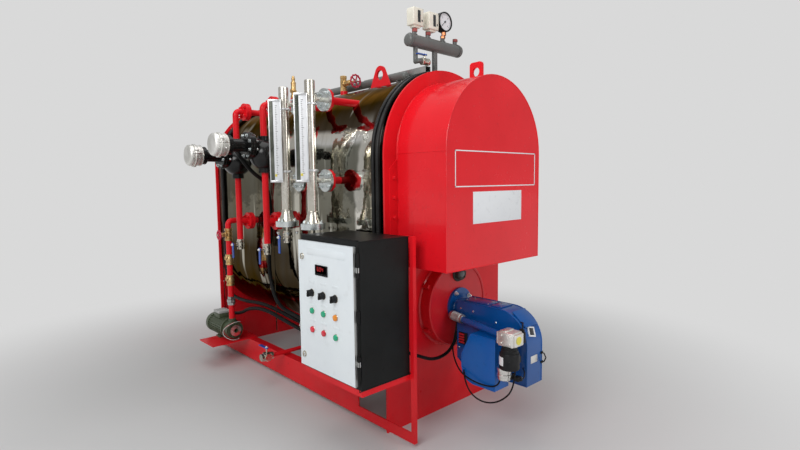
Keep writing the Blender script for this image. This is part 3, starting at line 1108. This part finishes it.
def makePump():
    cx = feedAt[0]
    z0 = pumpLook["axisZ"]
    inner = pumpLook["motorRadius"]
    motor = Work()
    motor.turned([(inner - 0.004, 0.0), (inner, 0.002), (inner, 0.235), (inner - 0.004, 0.238)],
                 (cx, 1.694, z0), -ahead, 64)
    for k in range(pumpLook["fins"]):
        angle = math.tau * (k + 0.5) / pumpLook["fins"]
        if abs(math.degrees(angle) - 90) < 20:
            continue
        place = Matrix.Translation((cx, 0, z0)) @ Matrix.Rotation(math.pi / 2 - angle, 4, "Y")
        motor.block((-0.0016, 1.706, inner - 0.002), (0.0016, 1.918, inner + pumpLook["finTall"]), 0.0008, place, 1)
    motor.turned([(0.055, 0), (0.0745, 0.001), (0.0745, 0.017), (0.0705, 0.02)], (cx, 1.676, z0), -ahead, 56)
    motor.turned([(0.0725, 0), (0.0748, 0.002), (0.0748, 0.036), (0.072, 0.043), (0.06, 0.046), (0.0, 0.0465)],
                 (cx, 1.918, z0), -ahead, 56)
    for radius in (0.02, 0.032, 0.044, 0.056):
        motor.ring((cx, 1.9642, z0), -ahead, radius, 0.0018, 48, 6)
    motor.block((-0.64, 1.7735, z0 + 0.058), (-0.556, 1.874, z0 + 0.096), 0.004)
    low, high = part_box("pump_motor")
    motor.block((-0.662, 1.735, low.z), (-0.538, 1.8, low.z + 0.012), 0.003)
    for x in (-0.635, -0.575):
        motor.block((x, 1.74, low.z + 0.01), (x + 0.01, 1.795, z0 - 0.04), 0.003)
    motor.block((-0.626, 1.762, low.z + 0.01), (-0.574, 1.772, z0 - 0.05), 0.002)
    for x in (-0.648, -0.552):
        for y in (1.75, 1.785):
            motor.bolt((x, y, low.z + 0.0115), up, 0.012)
    motor.done("pumpMotorBody", "pumpGreen", replaces=("pump_motor",))
    lid = Work()
    lid.block((-0.642, 1.7715, z0 + 0.0965), (-0.554, 1.876, z0 + 0.1165), 0.004, steps=3)
    for x in (-0.633, -0.563):
        for y in (1.781, 1.867):
            lid.turned([(0.0042, 0), (0.0042, 0.001), (0.0022, 0.002)], (x, y, z0 + 0.1155), up, 12)
    lid.done("terminalLid", "paleGreyPlastic")
    volute = Work()
    volute.ring((cx, 1.6, z0), ahead, 0.0615, 0.0035, 56, 10)
    volute.ring((cx, 1.655, z0), ahead, 0.0615, 0.003, 56, 10)
    for k in range(6):
        angle = math.tau * (k + 0.3) / 6
        spot = Vector((cx + 0.0565 * math.cos(angle), 1.6, z0 + 0.0565 * math.sin(angle)))
        volute.turned([(0.0075, 0), (0.0075, 0.066), (0.006, 0.068)], spot, -ahead, 12)
        volute.bolt(spot, ahead, 0.0105)
    volute.done("voluteLugs", "pumpGreen")
    face = Work()
    low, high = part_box("pump_volute")
    face.turned([(0.0165, 0), (0.04, 0.0005), (0.042, 0.003), (0.042, 0.007), (0.0165, 0.009)],
                (cx, low.y + 0.0075, z0), ahead, 48, 0.0, True)
    face.ring((cx, low.y + 0.001, z0), ahead, 0.031, 0.0016, 40, 8)
    face.done("suctionRing", "turnedSilver")
    for name, finish, wide, tall, y in (("wireWhite", "tieWhite", 0.092, 0.066, 1.585),
                                        ("wireRedLoop", "wireRed", 0.074, 0.06, 1.612)):
        wire = Work()
        turns = [math.radians(62 + 222 * k / 30) for k in range(31)]
        wire.pipe([Vector((cx + wide * math.cos(t), y + 0.016 * math.sin(2.5 * t), z0 + tall * math.sin(t)))
                   for t in turns], 0.0018, 8)
        wire.done(name, finish, slot="wheel_red" if finish == "wireRed" else "door_white")


headerLook = {"axis": (0.096, 2.132), "stubs": (-0.165, -0.057, 0.068, 0.178), "bodies": (-0.158, -0.034)}
dialLook = {"centre": (0.075, 2.279), "face": 0.0785, "radius": 0.0485, "figures": ("0", "2", "4", "6")}


def makeHeader():
    y, z = headerLook["axis"]
    welds = Work()
    for x in headerLook["stubs"]:
        welds.ring((x, y, z + 0.034), up, 0.0135, 0.0022, 28, 8)
    for x in (-0.209, 0.192):
        welds.ring((x, y, z), left, 0.0345, 0.0024, 44, 8)
    welds.ring((0, y, z - 0.034), up, 0.017, 0.0026, 28, 8)
    welds.done("headerWelds", "headerGrey")
    tape = Work()
    for x in headerLook["stubs"][:2]:
        tape.turned([(0.0135, 0), (0.015, 0.002), (0.0146, 0.01), (0.0152, 0.016), (0.0135, 0.018)],
                    (x, y, 2.18), up, 24)
    tape.done("jointTape", "tapeRed")
    fitting = Work()
    fitting.turned([(0.0125, 0), (0.0145, 0.001), (0.0145, 0.018), (0.0125, 0.019)], (0.075, y, 2.2015), up, 6)
    fitting.turned([(0.009, 0.018), (0.0105, 0.02), (0.0105, 0.03), (0.009, 0.031)], (0.075, y, 2.2015), up, 20)
    fitting.turned([(0.0135, 0), (0.015, 0.001), (0.015, 0.012), (0.0135, 0.013)], (0.068, y, 2.184), up, 6)
    fitting.done("gaugeFitting", "copperTube")
    spare = Work()
    spare.turned([(0.0135, 0), (0.0145, 0.001), (0.0145, 0.013), (0.011, 0.016), (0.0, 0.0165)],
                 (0.178, y, 2.184), up, 24)
    spare.done("spareNippleCap", "tapeRed")

    low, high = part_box("pressure_switches")
    cases, windows, screws = Work(), Work(), Work()
    for x in headerLook["bodies"]:
        cases.block((x - 0.04, low.y, low.z + 0.012), (x + 0.04, high.y - 0.004, high.z), 0.005, steps=3)
        cases.block((x - 0.036, high.y - 0.008, low.z + 0.016), (x + 0.036, high.y, high.z - 0.004), 0.002)
        cases.block((x - 0.024, low.y + 0.012, low.z + 0.001), (x + 0.024, high.y - 0.012, low.z + 0.014), 0.003)
        windows.block((x - 0.008, low.y - 0.0012, low.z + 0.028), (x + 0.014, low.y + 0.001, high.z - 0.014), 0.001)
        windows.block((x + 0.022, low.y - 0.0012, low.z + 0.034), (x + 0.03, low.y + 0.001, low.z + 0.046), 0.001)
        screws.turned([(0.006, 0), (0.006, 0.003), (0.004, 0.005)], (x + 0.012, (low.y + high.y) / 2, high.z), up, 16)
        for dz in (low.z + 0.018, high.z - 0.007):
            screws.turned([(0.003, 0), (0.003, 0.001), (0.0015, 0.0018)], (x + 0.0335, low.y, dz), ahead, 12)
    cases.done("switchCases", "ivoryPlastic", replaces=("pressure_switches",))
    windows.done("switchWindows", "glassDark")
    screws.done("switchScrews", "nickelPlate")

    cx, cz = dialLook["centre"]
    face = dialLook["face"]
    radius = dialLook["radius"]
    rim = Work()
    rim.turned([(0.0495, 0), (0.057, 0.001), (0.057, 0.036), (0.0555, 0.0405), (0.0525, 0.0415), (0.0495, 0.039),
                (0.0485, 0.034)], (cx, face + 0.04, cz), ahead, 64, 0.0, True)
    rim.turned([(0.0, -0.0055), (0.05, -0.0055), (0.055, -0.003), (0.057, 0.001), (0.0, 0.001)],
               (cx, face + 0.04, cz), ahead, 64)
    rim.turned([(0.01, 0), (0.012, 0.001), (0.012, 0.014), (0.01, 0.015)], (cx, face + 0.018, cz - 0.0695), up, 6)
    rim.done("dialCase", "softBlack", slot="gauge_black", replaces=("pressure_gauge",))
    paper = Work()
    paper.turned([(radius, 0), (radius, 0.0035), (0.0, 0.0035)], (cx, face + 0.0095, cz), ahead, 64)
    paper.done("dialFace", "signWhite")
    ink = Work()
    top = face + 0.006
    for k in range(31):
        angle = math.radians(225 - 270 * k / 30)
        long = 0.008 if k % 5 == 0 else 0.0045
        place = Matrix.Translation((cx, top, cz)) @ Matrix.Rotation(-angle, 4, "Y")
        ink.block((0.044 - long, -0.0006, -0.0005), (0.044, 0.0006, 0.0005), 0.0001, place, 1)
    ink.turned([(0.0055, -0.001), (0.0055, 0.0015), (0.004, 0.0025)], (cx, top, cz), ahead, 20)
    place = Matrix.Translation((cx, top - 0.001, cz)) @ Matrix.Rotation(-math.radians(222), 4, "Y")
    ink.block((-0.012, -0.0006, -0.0013), (0.037, 0.0006, 0.0009), 0.0003, place, 1)
    ink.done("dialInk", "softBlack", slot="gauge_black")
    for k, figure in enumerate(dialLook["figures"]):
        angle = math.radians(225 - 90 * k)
        curve = bpy.data.curves.new("figure", "FONT")
        curve.body = figure
        curve.size = 0.012
        curve.align_x = "CENTER"
        curve.align_y = "CENTER"
        curve.extrude = 0.0003
        curve.materials.append(finishes["softBlack"])
        mark = bpy.data.objects.new("dialFigure" + figure, curve)
        mark.location = (cx + 0.03 * math.cos(angle), top - 0.0002, cz + 0.03 * math.sin(angle))
        mark.rotation_euler = (math.pi / 2, 0, 0)
        scene.collection.objects.link(mark)
        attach(mark, "boiler")


jacketLook = {"bandYs": (0.024, 1.2, 2.05), "bandWide": 0.012, "bandTall": 0.0016, "screwsPerBand": 16}


def shellPath(y, rise, steps=48):
    low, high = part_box("jacket")
    radius = high.x + rise
    archZ = high.z - high.x
    path = [Vector((-radius, y, low.z + 0.004 + k * (archZ - low.z) / 5)) for k in range(5)]
    path += [Vector((-radius * math.cos(math.pi * k / steps), y, archZ + radius * math.sin(math.pi * k / steps)))
             for k in range(steps + 1)]
    return path + [Vector((radius, y, low.z + 0.004 + (4 - k) * (archZ - low.z) / 5)) for k in range(5)]


def makeJacketBands():
    tall, half = jacketLook["bandTall"], jacketLook["bandWide"] / 2
    bands, screws = Work(), Work()
    for y in jacketLook["bandYs"]:
        rings = []
        path = shellPath(y, 0.0)
        for k, point in enumerate(path):
            before, after = path[max(k - 1, 0)], path[min(k + 1, len(path) - 1)]
            way = (after - before).normalized()
            out = Vector((-way.z, 0, way.x))
            rings.append([bands.mesh.verts.new(point + out * r + Vector((0, d, 0)))
                          for r, d in ((-0.001, -half), (tall, -half * 0.8), (tall, half * 0.8), (-0.001, half))])
        bands.skin(rings)
        count = jacketLook["screwsPerBand"]
        for k in range(count):
            spot = int((len(path) - 1) * (k + 0.5) / count)
            way = (path[min(spot + 1, len(path) - 1)] - path[max(spot - 1, 0)]).normalized()
            out = Vector((-way.z, 0, way.x))
            screws.turned([(0.0042, 0), (0.0038, 0.0014), (0.002, 0.0024), (0.0, 0.0026)],
                          path[spot] + out * tall, out, 14)
    bands.done("jacketBands", "mirrorCladding")
    screws.done("jacketScrews", "zincPlate")


def makeRearAndFlanges():
    # Bolted flange pairs of the float pipes and columns, the flue rim and the plates' weld beads.
    pairs = Work()
    for y in floatYs:
        for z in (1.85, 1.099 if y < 1.2 else 1.081):
            for x in (-0.5465, -0.5115):
                pairs.ring((x, y, z), left, 0.0555, 0.0022, 48, 8)
            pairs.turned([(0.0545, -0.001), (0.0592, 0), (0.0592, 0.0125), (0.0545, 0.0135)],
                         (-0.5345, y, z), left, 56, 0.0, True)
            pairs.turned([(0.0545, -0.001), (0.0592, 0), (0.0592, 0.0125), (0.0545, 0.0135)],
                         (-0.5115, y, z), left, 56, 0.0, True)
            pairs.boltCircle((-0.547, y, z), left, 0.041, 4, 0.02, 0.785, True)
            pairs.ring((-0.549, y, z), left, 0.022, 0.0032, 28, 8)
    for y in columnYs:
        for z in (1.36, 1.807):
            pairs.boltCircle((-0.543, y, z), -left, 0.047, 4, 0.0185, 0.785, True)
            pairs.ring((-0.542, y, z), left, 0.0225, 0.003, 28, 8)
    pairs.done("pipeFlangePairs", "redEnamel")
    rear = Work()
    low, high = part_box("flue_outlet")
    z = (low.z + high.z) / 2
    rear.boltCircle((0, low.y + 0.008, z), -ahead, 0.121, 8, 0.018, 0.39)
    rear.ring((0, low.y + 0.0085, z), ahead, 0.1105, 0.0035, 64, 8)
    rear.ring((0, high.y - 0.003, z), ahead, 0.1095, 0.0022, 64, 8)
    for near, far, foot in ((0.482, 0.684, 1.9535), (-0.251, -0.167, 1.8995)):
        for x in (-0.0085, 0.0085):
            rear.pipe([(x, near, foot), (x, (near + far) / 2, foot), (x, far, foot)], 0.0035, 8)
    rear.done("rearAndLugWelds", "redEnamel")


def makeTies():
    ties = Work()
    for k, (middle, high, wide) in enumerate((((-0.556, 0.72, 0.4645), 0.06, 0.018),
                                              ((-0.561, 0.5, 0.455), 0.064, 0.019))):
        h, w = high / 2 + 0.012, wide
        outline = [Vector((w * math.cos(t), 0, h * math.sin(t))) for t in (math.tau * n / 28 for n in range(28))]
        ties.pipe([Vector(middle) + p for p in outline], 0.0016, 6, True)
        ties.block((-0.004, -0.003, -0.003), (0.004, 0.003, 0.005), 0.001,
                   Matrix.Translation(Vector(middle) + Vector((-w, 0, 0))))
    ties.done("cableTies", "tieWhite")


for maker in (makeSmokebox, makeFurnaceDoor, makeBurner, makeGasTrain, makeCabinet, makeColumns, makeGauges,
              makeFloats, makeValves, makeWheels, makePump, makeHeader, makeJacketBands, makeRearAndFlanges,
              makeTies):
    maker()
    print("made:", maker.__name__[4:])


studio = {"floorHalf": 40.0, "backdrop": 0.694, "ambient": 0.4}


def makeFloor():
    half = studio["floorHalf"]
    mesh = bpy.data.meshes.new("studioFloor")
    mesh.from_pydata([(-half, -half, 0), (half, -half, 0), (half, half, 0), (-half, half, 0)], [], [(0, 1, 2, 3)])
    floor = bpy.data.objects.new("studioFloor", mesh)
    scene.collection.objects.link(floor)
    made = Finish("floorPale", {"Roughness": 0.9})
    slow = made.spread(made.noise(0.8, 2), 0.3, 0.7)
    made.feed({"Base Color": made.mix(slow, rgb(0.59, 0.59, 0.59), rgb(0.62, 0.62, 0.62))})
    paper = made.node("ShaderNodeEmission", {}, {"Color": rgb(1, 1, 1), "Strength": studio["backdrop"]})
    flat = made.node("ShaderNodeVectorMath", {"operation": "SUBTRACT"}, {0: made.place, 1: (-0.2, 0.9, 0.0)})
    far = made.node("ShaderNodeVectorMath", {"operation": "LENGTH"}, {0: flat}, output=1)
    share = made.spread(far, 1.2, 3.6)
    blend = made.node("ShaderNodeMixShader", {}, {0: share, 1: Signal(made, made.shader.outputs[0]), 2: paper})
    output = made.tree.nodes["Material Output"]
    made.tree.links.new(blend.socket, output.inputs["Surface"])
    mesh.materials.append(made.material)


def makeSky():
    world = bpy.data.worlds.new("studio")
    world.use_nodes = True
    scene.world = world
    tree = world.node_tree
    light = tree.nodes["Background"]
    light.inputs["Color"].default_value = rgb(1.0, 1.0, 1.0)
    light.inputs["Strength"].default_value = studio["ambient"]
    seen = tree.nodes.new("ShaderNodeBackground")
    seen.inputs["Color"].default_value = rgb(1, 1, 1)
    seen.inputs["Strength"].default_value = studio["backdrop"]
    rays = tree.nodes.new("ShaderNodeLightPath")
    blend = tree.nodes.new("ShaderNodeMixShader")
    tree.links.new(rays.outputs["Is Camera Ray"], blend.inputs[0])
    tree.links.new(light.outputs[0], blend.inputs[1])
    tree.links.new(seen.outputs[0], blend.inputs[2])
    tree.links.new(blend.outputs[0], tree.nodes["World Output"].inputs["Surface"])


def makeLamp(name, place, target, size, power):
    lamp = bpy.data.lights.new(name, "AREA")
    lamp.shape = "RECTANGLE"
    lamp.size, lamp.size_y = size
    lamp.energy = power
    holder = bpy.data.objects.new(name, lamp)
    holder.location = place
    holder.rotation_euler = (Vector(target) - Vector(place)).to_track_quat("-Z", "Y").to_euler()
    scene.collection.objects.link(holder)


makeFloor()
makeSky()
makeLamp("leftSoftbox", (-4.2, -1.2, 3.6), (-0.3, 0.6, 1.0), (2.6, 1.8), 88)
makeLamp("topSoftbox", (-0.6, 0.6, 5.2), (0, 0.9, 1.0), (3.0, 4.0), 64)
makeLamp("frontSoftbox", (0.6, -4.6, 2.4), (0, 0, 1.0), (2.2, 1.8), 42)
scene.view_settings.view_transform = "Standard"
print("studio lit")
